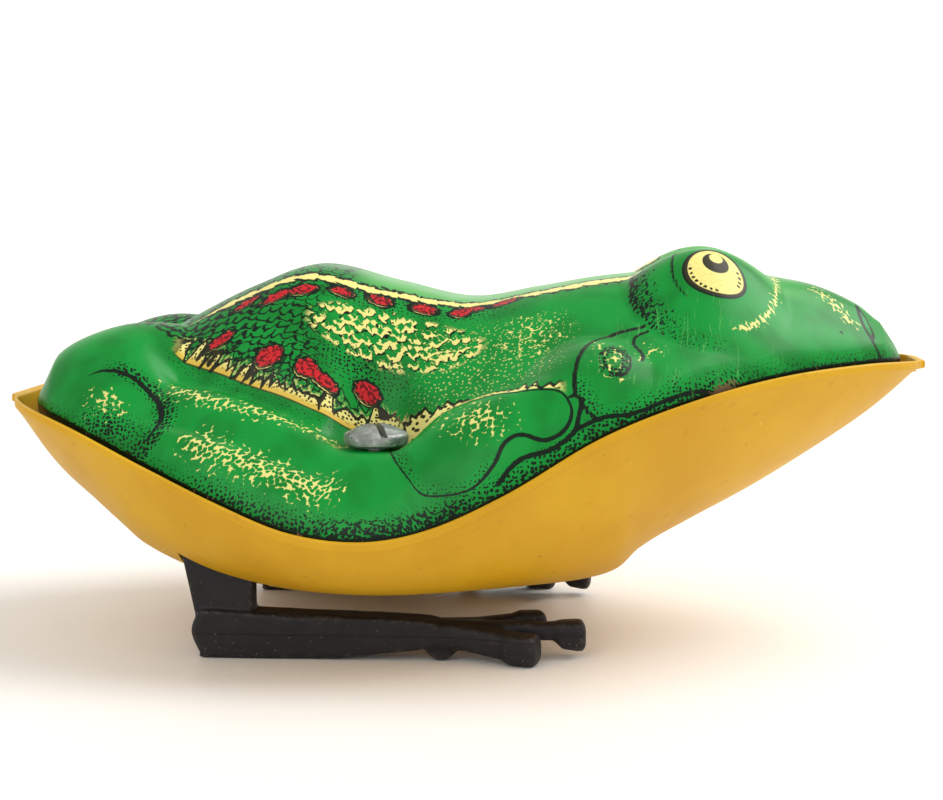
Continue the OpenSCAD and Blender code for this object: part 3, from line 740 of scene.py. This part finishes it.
def print_art(piece, skin, extra):
    """Stores on the tin back where each printed shape is, and where the painted sheen and the scratches go,
    as distances the ink reads. The last extra points are the turned-down edge."""
    x, y, z = (skin[..., k] for k in range(3))
    steps = np.hypot(np.diff(y, axis=1), np.diff(z, axis=1))
    along = np.concatenate([np.zeros((len(x), 1)), np.cumsum(steps, axis=1)], axis=1)
    middle = skin.shape[1] // 2
    t = np.abs(along - along[:, middle:middle + 1])
    total = np.where(y < 0, t[:, :1], t[:, -1:])

    def store(name, *values):
        values = [np.concatenate([v.reshape(-1), np.zeros(extra)]) for v in values]
        if name == "art":
            ring = border(*skin.shape[:2])
            for v in values:
                v[-extra:] = np.tile(v[ring], extra // len(ring))
        if len(values) == 1:
            layer = piece.data.attributes.new(name, "FLOAT", "POINT")
            layer.data.foreach_set("value", values[0].astype(np.float32))
        else:
            layer = piece.data.attributes.new(name, "FLOAT_VECTOR", "POINT")
            layer.data.foreach_set("vector", np.stack(values, -1).astype(np.float32).reshape(-1))

    rim = total - t
    blank = 0 * x
    store("art", x, t, rim)

    def spots(dx=0.0, dt=0.0):
        every = [to_ellipse(x, t, (c[0] + dx, c[1] + dt), r, turn) for c, r, turn in RED_SPOTS]
        return np.minimum.reduce(every)

    store("red", spots(), spots(-0.14, 0.26), blank)

    stripe, side, length = to_line(x, t, rounded(STRIPE))
    store("stripe", stripe * side, length, blank)
    top, top_side, top_length = to_line(x, t, rounded(CREASE_TOP))
    edge, edge_side, _ = to_line(x, t, rounded(CREASE_EDGE))
    store("crease", top * top_side, edge * edge_side, top_length)
    forearm = to_shape(x, t, rounded(FOREARM, closed=True))
    lace, lace_side, lace_length = to_line(x, t, rounded(LACE))
    store("forearm", forearm, lace * lace_side, lace_length)

    ink = np.full(x.shape, 9.0)
    for line, half in LINES:
        d = to_line(x, t, rounded(line))[0]
        ink = np.minimum(ink, (d**2 - half**2) / (2 * half))
    store("ink", ink)

    eye_u = (x - EYE_AT[0]) / EYE_R[0]
    eye_v = (t - EYE_AT[1]) / EYE_R[1]
    store("eye", eye_u, eye_v, np.hypot(eye_u, eye_v))

    haunch = to_ellipse(x, t, HAUNCH_AT, HAUNCH_R)
    turn = np.arctan2(HAUNCH_AT[1] - t, x - HAUNCH_AT[0])
    crescent = fade(np.cos(turn - radians(42)), 0.05, 0.9)
    store("haunch", haunch, crescent, blank)

    ear = to_ellipse(x, t, (18.8, 25.4), (5.7, 7.6))
    left, left_side, _ = to_line(x, t, rounded(BULGE_BACK))
    swirl = np.abs(to_ellipse(x, t, SWIRL_AT, (1.3, 1.9)))
    on_bulge = left_side < 0
    worms = fade(left, 4.6, 0.2) * on_bulge * fade(t, 25, 15)
    brow = fade(left, 1.1, 0.1) * on_bulge * fade(t, 1.5, 4.5) * fade(t, 18, 12)
    net = np.maximum.reduce([
        0.82 * band(x, t, SHIN, 3.0) * fade(x, -32, -28),
        0.75 * glow(x, t, (-39.6, 24.3), (3.6, 2.6), 10),
        0.85 * glow(x, t, (2.6, 30.3), (5.6, 3.4), 18),
        0.95 * band(x, t, SNOUT, 1.45),
        0.6 * glow(x, t, (7.9, 16.0), (5.6, 4.4)),
        0.62 * glow(x, t, SWIRL_AT, (2.6, 3.4)),
        0.6 * glow(x, t, (21.2, 22.6), (1.8, 2.6)),
        0.5 * glow(x, t, (15.6, 21.6), (1.8, 2.6)),
        1.1 * band(x, t, BULGE_FRONT, 0.6) * fade(t, 21, 18)])
    flakes = glow(x, t, (-7.8, 14.9), (11.0, 4.1), 3)
    thigh = band(x, t, THIGH, 1.75) * fade(x, -36.5, -31)
    net = net * (1 - np.clip(1.4 * brow, 0, 1))
    store("cream", net, flakes, thigh)

    shade = np.maximum.reduce([
        0.4 * fade(left, 5.0, 0.2) * on_bulge * fade(t, 26, 22),
        1.25 * brow,
        0.9 * fade(swirl, 0.9, 0.1),
        0.85 * fade(np.abs(haunch - 0.35), 1.9, 0.2) * fade(np.cos(turn - radians(10)), -0.2, 0.5),
        0.9 * glow(x, t, (-38.8, 27.4), (8.2, 3.9), 16),
        0.85 * fade(rim, 4.2, 0.2) * fade(x, -34, -24) * fade(x, 42, 26),
        0.5 * fade(rim, 2.6, 0.2),
        0.55 * fade(forearm, -3.6, 0.2) * (forearm < 0) * fade(x, 1, -5.5),
        0.5 * fade(forearm, -2.6, 0.2) * (forearm < 0) * fade(t, 33, 36.5),
        0.6 * fade(ear, -2.6, 0.2) * (ear < 0.2) * fade(t, 25, 28),
        0.28 * fade(np.abs(edge * edge_side - 0.7), 1.4, 0.2) * (edge_side > 0),
        0.7 * glow(x, t, (-12, 19.5), (12, 4.5), 12),
        0.5 * fade(t, 13, 10) * fade(x, 10, 3) * fade(x, -20, -14) * (t > 9)])
    scales = np.maximum.reduce([
        fade(x, -13, -20) * fade(t, 8, 9.6) * fade(top * top_side, 0.6, -0.8) * fade(x, -42, -38),
        fade(x, -12, -14.5) * fade(x, -42, -38) * fade(t, 9.4, 7.8),
        fade(x, -46, -43.5) * fade(x, -34, -38) * fade(t, 6.5, 8) * fade(t, 13, 9),
        fade(rim, 3.0, 1.4) * fade(x, -16, -12) * fade(x, 4, 0)])
    store("dark", shade, scales, worms)

    # painted sheen: a lighter band along the top of the back, standing in for light the gloss reflects
    # there; grazed marks where the scratches go
    painted_sheen = fade(t, 8.4, 6.4) * fade(x, -15, -10) * fade(x, 46, 30)
    grazed = fade(x, 12, 16) * fade(x, 38, 33) * fade(t, 13, 18) * fade(t, 31, 27)
    store("sheen_and_wear", painted_sheen, grazed, blank)


GREEN, DEEP_GREEN, LIGHT_GREEN = rgb(12, 146, 54), rgb(8, 126, 42), rgb(96, 182, 92)
CREAM, MUSTARD, RED = rgb(240, 228, 138), rgb(226, 190, 78), rgb(205, 38, 44)
INK, DARK_RED, BARE_TIN = rgb(9, 13, 12), rgb(110, 18, 26), rgb(120, 92, 66)


class Print(Paint):
    """Inks laid in turn over a ground colour, with one black that is printed last."""

    def __init__(self, name, **finish):
        super().__init__(name, **finish)
        self.x, self.t, self.rim = self.fields("art")
        self.flat = self.joined(self.x, self.t)
        self.loose = self.wander(self.flat, 0.9, 0.3)
        self.ragged = self.speckle(self.flat, 0.55, 1.0) - 0.5
        self.mottle = self.speckle(self.loose, 0.42, 1.0, 1.0)
        self.ground = None
        self.black = None

    def fields(self, name):
        """The three distances that print_art stored under a name."""
        return self.split(self.attribute(name, vector=True))

    def speckle(self, at, size, detail, seed=0.0):
        return self.noise(at, size, detail, seed, dims="2D")

    def along(self, start, full, last, end):
        """1 from full to last along the frog, falling to 0 at start and end."""
        return self.step(self.x, start, full) * self.step(self.x, end, last)

    def lay(self, share, colour):
        self.ground = self.mix(share, self.ground, colour)

    def draw(self, share):
        """Adds to the black."""
        self.black = share if self.black is None else self.most(self.black, share)

    def keep(self, share):
        """Leaves black only where the share is 1."""
        self.black = self.black * share


def spray_green_and_sheen(p):
    """The ground colour, sprayed unevenly, with a painted sheen along the back: a paler green that stands in
    for light reflected by the gloss.
    """
    p.ground = p.mix(p.step(p.speckle(p.flat, 6.0, 2.0, 3.0), 0.35, 0.68), GREEN, DEEP_GREEN)
    painted_sheen, _, _ = p.fields("sheen_and_wear")
    # painted sheen: lighter green along the top of the back, for the light the gloss reflects
    p.lay(painted_sheen * 0.75, LIGHT_GREEN)


def stipple_cream(p):
    """Cream dots where they are thin, a net with green holes where they are thick, flakes on the flank."""
    net, flakes, thigh = p.fields("cream")
    net = p.most(net, thigh * 0.75)
    holes = p.cells(p.wander(p.flat, 0.7, 0.25), 0.56, random=0.8)
    cream = holes.above(0.8 - net * 0.46, 0.06) * net.above(0.03, 0.02) * 0.9
    flank = p.along(-8.0, -2.0, 9.0, 15.0) * p.step(p.t, 11.0, 13.5) * p.step(p.t, 26.0, 22.0)
    sparse = p.cells(p.loose, 0.62, random=0.9).below(flank * 0.15, 0.05)
    cream = p.most(cream, sparse * flank.above(0.2, 0.1) * 0.7)
    flake_at = p.wander(p.flat, 0.8, 0.5)
    more = p.least(flakes * 2.0, 1.0) * 0.22
    in_patch = flakes.above(0.06, 0.05)

    def flake(dx, dt, size):
        centre = p.stretched(flake_at, shift=(dx, dt, 0))
        return p.cells(centre, 1.25, metric="MANHATTAN", random=0.8).below(size + more, 0.04) * in_patch

    whole = flake(0, 0, 0.42)
    p.lay(p.most(cream, whole * (1.0 - flake(0.1, 0.34, 0.2))), CREAM)
    p.draw(flake(-0.08, -0.22, 0.42) * (1.0 - whole))


def stipple_black(p):
    """Dots that grow with the shade, and wriggling strokes behind the eye."""
    shade, _, worms = p.fields("dark")
    dots = p.cells(p.loose, 0.5, random=0.55)
    p.draw(dots.below(shade * 0.5, 0.05) * shade.above(0.06, 0.04))
    worm = p.speckle(p.wander(p.flat, 0.8, 0.25), 0.42, 0.5, 2.0)
    p.draw(worm.above(0.88 - worms * 0.42, 0.03) * worms.above(0.05, 0.05))


def draw_scales(p):
    """Rows of arcs, every other row moved by half a scale."""
    _, scales, _ = p.fields("dark")
    u, w, _ = p.split(p.stretched(p.wander(p.flat, 1.6, 0.75), (0.66, 1.05, 1), -32))
    odd = p.math("FLOORED_MODULO", p.math("FLOOR", w), 2.0)
    u = p.math("FRACT", u + 0.5 * odd) - 0.5
    w = p.math("FRACT", w)
    bow = p.math("SQRT", u * u * 1.1 + w * w * 0.55)
    half = 0.05 + scales * 0.05 + p.step(p.x, -20.0, -34.0) * 0.06
    p.draw(abs(bow - 0.5 + p.ragged * 0.16).below(half, 0.05) * scales.above(0.45, 0.3))


def print_stripe(p):
    """The back stripe: ragged cream between black edges."""
    off, length, _ = p.fields("stripe")
    uneven = p.speckle(p.flat, 1.3, 2.0, 4.0)
    feather = p.math("FRACT", length * 0.42 + uneven * 0.8)
    half = 0.05 + 0.62 * uneven + feather * 0.42 + p.ragged * 0.8 + p.step(p.x, 4.0, 16.0) * 0.3
    half = half * p.along(-33.0, -27.0, 20.0, 25.0)
    p.lay(abs(off).below(half, 0.06), CREAM)
    p.keep(abs(off).above(half, 0.05))
    outline = abs(abs(off) - half - 0.16).below(0.14 + uneven * 0.2 + p.ragged * 0.5, 0.04)
    p.draw(outline * half.above(0.12, 0.05) * p.step(p.x, -39.0, -36.0))


def print_crease(p):
    """The cream band along the thigh's crease, peppered below, with a wriggling edge above."""
    over, under, run = p.fields("crease")
    over = over + (p.speckle(p.joined(run, over * 0.35), 1.0, 0.5, 7.0) - 0.5) * 5.0
    in_run = p.along(-34.0, -32.5, -8.0, -4.0)
    crease = over.above(0.0, 0.06) * under.below(0.0, 0.06) * in_run
    p.lay(crease, p.mix(p.step(under, -0.3, -1.2), MUSTARD, CREAM))
    p.keep(1.0 - crease)
    pepper = p.cells(p.flat, 0.45, random=0.8).below(0.3, 0.05)
    p.draw(crease * pepper * p.step(under, -0.3, -0.9))
    fringe = p.step(over, -1.6, 0.2) * over.below(0.0, 0.1) * under.below(0.0, 0.1) * in_run
    grain = p.speckle(p.wander(p.flat, 0.7, 0.2), 0.36, 0.0, 9.0)
    p.lay(fringe * grain.above(0.5, 0.05), CREAM)
    p.draw(abs(over).below(0.42, 0.06) * under.below(0.2, 0.1) * in_run)
    second = abs(over + 1.5 + p.ragged * 1.5).below(0.3, 0.06)
    p.draw(second * p.along(-34.0, -30.0, -11.0, -8.0) * 0.9)
    p.draw(abs(under).below(0.1, 0.06) * in_run * 0.8)


def print_forearm(p):
    """The forearm's outline, heavier below, and the lace above it."""
    arm, lace, run = p.fields("forearm")
    scallop = (p.speckle(p.joined(run, 0.0), 0.8, 0.0, 6.0) - 0.5) * 2.6
    by_arm = p.along(-7.6, -6.6, 11.0, 12.4)
    in_lace = lace.above(scallop, 0.06) * arm.above(0.25, 0.05) * by_arm * p.step(p.t, 29.0, 28.4)
    p.lay(in_lace, CREAM)
    p.keep(1.0 - in_lace)
    p.draw(p.cells(p.flat, 0.8).below(0.27, 0.04) * in_lace)
    p.draw(abs(lace - scallop).below(0.26, 0.06) * by_arm)
    weight = 0.12 + 0.14 * p.step(p.x, 1.0, 6.0) * p.step(p.t, 29.5, 33.0) + p.ragged * 0.1
    p.draw(abs(arm).below(weight, 0.05))


def print_spots(p):
    """Red spots with a heavy outline, mottled, and a cream sliver at their lower left."""
    red, sliver, _ = p.fields("red")
    red = red + p.ragged * 0.55
    whole = p.least(red, sliver + p.ragged * 0.4)
    p.lay(whole.below(0.06, 0.04), CREAM)
    p.keep(whole.above(0.2, 0.05))
    p.lay(red.below(0.0, 0.05), p.mix(p.step(p.mottle, 0.5, 0.56), RED, DARK_RED))
    p.draw(abs(whole - 0.15).below(0.12, 0.04))
    p.draw(abs(red - 0.1).below(0.14 + p.ragged * 0.2, 0.05))


def draw_lines(p):
    """The haunch's crescent and the open lines of the arm, ear, mouth and nose."""
    haunch, crescent, _ = p.fields("haunch")
    p.draw(abs(haunch + p.ragged * 0.25).below(crescent * 0.3, 0.05) * crescent.above(0.1, 0.1))
    p.draw((p.attribute("ink") + p.ragged * 0.12).below(0.0, 0.05))


def print_eye(p):
    """A cream eye in a black ring, with a pupil, a glint and a row of beads at its lower side."""
    u, v, eye = p.fields("eye")
    inside = eye.below(1.0, 0.015)
    p.lay(inside, p.mix(p.step(p.mottle, 0.5, 0.75) * 0.3, CREAM, MUSTARD))
    p.keep(1.0 - inside)
    p.draw(abs(eye - 0.98).below(0.055 + p.step(v - u, -0.6, 1.2) * 0.04, 0.012))
    pupil = p.radius(u - 0.03, v + 0.33)
    glint = p.radius(u - 0.05, v + 0.54)
    p.draw(pupil.below(0.43, 0.015) * glint.above(0.22, 0.015))
    bead = abs(p.math("FRACT", p.math("ARCTAN2", v, u) * 4.3 + p.ragged * 0.5) - 0.5).below(0.27, 0.06)
    row = abs(eye - 0.8 + p.ragged * 0.05).below(0.05, 0.012)
    p.draw(bead * row * p.most(p.step(v - u, 0.55, 0.75), p.step(u - abs(v) * 0.5, 0.45, 0.6)))


def print_black(p):
    """The contour at the rim and a nick on the snout, and then all the black."""
    p.draw(p.rim.below(0.3 + p.ragged * 0.3, 0.06))
    p.draw(p.radius(p.x - NICK_AT[0], p.t - NICK_AT[1]).below(0.22, 0.05))
    p.lay(p.black * 0.97, INK)


def wear_skin(p):
    """Fine scratches, a rubbed patch at the corner of the mouth, chips at the rim and smeared varnish."""
    _, grazed, _ = p.fields("sheen_and_wear")
    at = p.wander(p.flat, 7.0, 0.9)
    fine = p.speckle(p.stretched(at, (3.2, 0.22, 1), 12), 1.0, 3.0, 11.0)
    cross = p.speckle(p.stretched(at, (3.0, 0.2, 1), -38), 1.0, 3.0, 13.0)
    scratch = p.most(fine, cross).above(0.7, 0.03) * grazed
    p.lay(scratch * 0.42, LIGHT_GREEN)
    across, up = p.x - RUB_X, p.rim - RUB_UP
    rub = p.math("SQRT", across * across * 0.35 + up * up)
    rub = (rub + p.ragged * 1.8).below(0.7, 0.2) * 0.8
    p.lay(rub, BARE_TIN)
    p.lay(p.speckle(p.flat, 0.7, 3.0, 17.0).above(0.73, 0.02) * p.rim.below(0.3, 0.1), BARE_TIN)
    smear = p.speckle(p.stretched(p.flat, (1, 0.4, 1), 30), 2.5, 4.0, 19.0)
    p.roughness(0.24 + smear * 0.16 + scratch * 0.25 + rub * 0.3)
    p.bump(p.noise(p.place(), 2.2, 3.0) * 0.7 + p.black * 0.12 - scratch * 0.25, 0.05)


def litho_paint():
    """The printed frog skin under a gloss varnish."""
    p = Print("litho_tin", roughness=0.36, coat=0.05, coat_roughness=0.1, specular=0.16)
    for step in (spray_green_and_sheen, stipple_cream, stipple_black, draw_scales, print_stripe, print_crease,
                 print_forearm, print_spots, draw_lines, print_eye, print_black, wear_skin):
        step(p)
    p.colour(p.ground)
    return p.material


# ---- the other materials

def yellow_paint():
    """Satin moulded plastic: slightly uneven colour, fine grain and specks."""
    p = Paint("yellow_plastic", roughness=0.42, specular=0.3)
    p.shader.inputs["Subsurface Weight"].default_value = 0.12
    p.shader.inputs["Subsurface Radius"].default_value = (0.9, 0.45, 0.12)
    p.shader.inputs["Subsurface Scale"].default_value = 0.0012
    at = p.place()
    cloud = p.noise(at, 14, 3.0)
    colour = p.mix(p.step(cloud, 0.3, 0.7), rgb(218, 168, 22), rgb(208, 155, 15))
    grime = p.noise(at, 1.6, 4.0, seed=4.0)
    colour = p.mix(p.step(grime, 0.62, 0.8) * 0.35, colour, rgb(176, 122, 26))
    speck = p.cells(at, 3.4, dims="3D").below(0.035, 0.015)
    colour = p.mix(speck * 0.8, colour, rgb(96, 62, 22))
    fleck = p.cells(p.stretched(at, shift=(5, 3, 1)), 5.2, dims="3D").below(0.03, 0.01)
    colour = p.mix(fleck * 0.7, colour, rgb(246, 218, 130))
    p.colour(colour)
    p.roughness(0.36 + cloud * 0.12 + grime * 0.1)
    fine = p.noise(at, 0.35, 2.0, seed=2.0)
    p.bump(fine * 0.35 + cloud * 1.2 + grime * 0.25, 0.06)
    return p.material


def dark_paint():
    """Dark moulded plastic with a fine grain, scuffed paler on its corners and dusty in places."""
    p = Paint("dark_plastic", roughness=0.5, specular=0.3)
    at = p.place()
    cloud = p.noise(at, 3.5, 4.0)
    colour = p.mix(p.step(cloud, 0.35, 0.7), rgb(24, 22, 25), rgb(33, 30, 31))
    edge = p.node("ShaderNodeNewGeometry").outputs["Pointiness"]
    scuff = Value(p, edge).above(0.53, 0.03) * p.step(p.noise(at, 0.8, 3.0, seed=3.0), 0.45, 0.65)
    colour = p.mix(scuff * 0.6, colour, rgb(104, 96, 90))
    dust = p.noise(at, 0.4, 3.0, seed=8.0).above(0.7, 0.02)
    colour = p.mix(dust * 0.5, colour, rgb(120, 110, 100))
    _, _, height = p.split(at)
    seam = abs(height - 2.85).below(0.06, 0.03)
    p.colour(colour)
    p.roughness(0.4 + cloud * 0.22 + scuff * 0.1)
    p.bump(p.noise(at, 0.3, 2.0, seed=5.0) * 0.5 + cloud * 0.6 + seam * 0.9, 0.06)
    return p.material


def metal_paint(name, light, dark, roughness, grain, stretch, rust=0.1):
    """A worked metal: streaked colour, tarnish patches, fine tool marks and a little rust."""
    p = Paint(name, roughness=roughness, metallic=1.0)
    at = p.place()
    marks = p.noise(p.stretched(at, stretch), grain, 4.0)
    patches = p.noise(at, 2.4, 4.0, seed=6.0)
    colour = p.mix(p.step(patches, 0.35, 0.7), light, dark)
    colour = p.mix(p.step(marks, 0.5, 0.75) * 0.3, colour, dark)
    stain = p.noise(at, 1.1, 5.0, seed=12.0).above(0.74 - rust * 0.2, 0.05)
    colour = p.mix(stain * 0.6, colour, rgb(96, 62, 40))
    p.colour(colour)
    p.roughness(roughness - 0.08 + marks * 0.2 + stain * 0.3)
    p.bump(marks * 0.6 + patches * 0.4, 0.02)
    return p.material


def zinc_paint():
    """Dull grey casting with pits and dark specks."""
    p = Paint("cast_zinc", roughness=0.46, metallic=0.75)
    at = p.place()
    cloud = p.noise(at, 1.4, 4.0)
    colour = p.mix(p.step(cloud, 0.35, 0.65), rgb(176, 180, 176), rgb(138, 142, 138))
    pits = p.cells(p.wander(at, 0.8, 0.3, dims="3D"), 0.8, dims="3D").below(0.16, 0.05)
    pits = pits * p.step(p.noise(at, 1.0, 2.0, seed=7.0), 0.42, 0.52)
    colour = p.mix(pits * 0.85, colour, rgb(52, 52, 50))
    shine = p.noise(at, 0.5, 3.0, seed=9.0).above(0.64, 0.04)
    colour = p.mix(shine * 0.6, colour, rgb(222, 224, 220))
    p.colour(colour)
    p.roughness(0.38 + cloud * 0.22 + pits * 0.2)
    p.bump(cloud * 0.7 + p.noise(at, 0.25, 3.0) * 0.4 - pits * 0.8, 0.08)
    return p.material


# For each metal: how it is painted, and the CAD nodes that keep their shape and wear it.
METALS = {
    "tinplate": ((rgb(206, 208, 206), rgb(170, 172, 170), 0.34, 0.5, (0.15, 2, 1)),
                 ["bottom_plate", "top_plate", "axle_brackets", "cam_follower"]),
    "bright_steel": ((rgb(196, 196, 200), rgb(150, 150, 156), 0.28, 0.3, (1, 1, 4)),
                     ["plate_pillars", "motor_screws", "spring_post", "winding_arbor", "click_rivet",
                      "second_arbor", "cam_arbor", "fly_arbor", "leg_axle", "axle_clips"]),
    "spring_steel": ((rgb(104, 112, 134), rgb(66, 68, 84), 0.3, 0.4, (1, 1, 5)),
                     ["mainspring", "leg_spring", "kick_cam", "ratchet_wheel", "click"]),
    "brass": ((rgb(214, 176, 96), rgb(168, 128, 62), 0.32, 0.35, (1, 1, 3), 0.02),
              ["great_wheel", "second_pinion", "second_wheel", "cam_pinion", "third_wheel",
               "fly_pinion", "fly_disc"]),
}


def dress(piece, material):
    piece.data.materials.clear()
    piece.data.materials.append(material)


def finish_clockwork():
    for name, (look, nodes) in METALS.items():
        metal = metal_paint(name, *look)
        for node in nodes:
            dress(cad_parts[node], metal)


# ---- surroundings

def add_floor():
    """A pale floor that curves up into a plain backdrop."""
    floor_z = cad_box[0][2]
    reach, front, back, bend, top, steps = 1.6, -1.2, 0.5, 0.5, 1.8, 16
    profile = [(front, 0.0), (back, 0.0)]
    for k in range(1, steps + 1):
        a = k / steps * pi / 2
        profile.append((back + bend * sin(a), bend * (1 - cos(a))))
    profile.append((back + bend, top))
    points = [(side * reach, y, floor_z + z) for y, z in profile for side in (-1, 1)]
    faces = [(2 * k, 2 * k + 1, 2 * k + 3, 2 * k + 2) for k in range(len(profile) - 1)]
    mesh = bpy.data.meshes.new("floor")
    mesh.from_pydata(points, [], faces)
    mesh.shade_smooth()
    floor = add_object("floor", mesh)
    p = Paint("floor", roughness=0.5)
    at = p.place()
    cloud = p.noise(at, 60, 3.0)
    p.colour(p.mix(cloud, rgb(250, 248, 245), rgb(244, 241, 237)))
    p.bump(p.noise(at, 0.6, 3.0), 0.03)
    _, distance, height = p.split(at)
    far = p.most(p.step(distance, 150.0, 700.0), p.step(height, 0.0, 200.0))
    p.shader.inputs["Emission Color"].default_value = (*rgb(255, 254, 250), 1)
    p.feed(p.shader.inputs["Emission Strength"], far * 0.22)
    dress(floor, p.material)


def add_light(name, place, aim, size, power, colour=(1, 1, 1)):
    data = bpy.data.lights.new(name, "AREA")
    data.shape = "RECTANGLE"
    data.size, data.size_y = size
    data.energy = power
    data.color = colour
    light = add_object(name, data)
    light.location = place
    light.rotation_euler = (Vector(aim) - Vector(place)).to_track_quat("-Z", "Y").to_euler()


def light_scene():
    world = bpy.data.worlds.new("studio")
    scene.world = world
    world.use_nodes = True
    world.node_tree.nodes["Background"].inputs["Color"].default_value = (1.0, 1.0, 0.985, 1)
    world.node_tree.nodes["Background"].inputs["Strength"].default_value = 0.68
    add_light("window", (-0.25, -0.6, 0.45), (0, 0, 0.02), (0.5, 0.5), 1.1, (1.0, 0.985, 0.96))
    add_light("overhead", (0.5, 0.15, 0.65), (0, 0, 0.02), (0.6, 0.6), 5.0)
    scene.view_settings.view_transform = "Standard"


# ---- build

dress(tin_back(), litho_paint())
dress(belly_hull(), yellow_paint())
rubber = dark_paint()
dress(foot("right_foot", -1, "right_leg"), rubber)
dress(foot("left_foot", 1, "left_leg"), rubber)
dress(knob(), zinc_paint())
finish_clockwork()
add_floor()
light_scene()
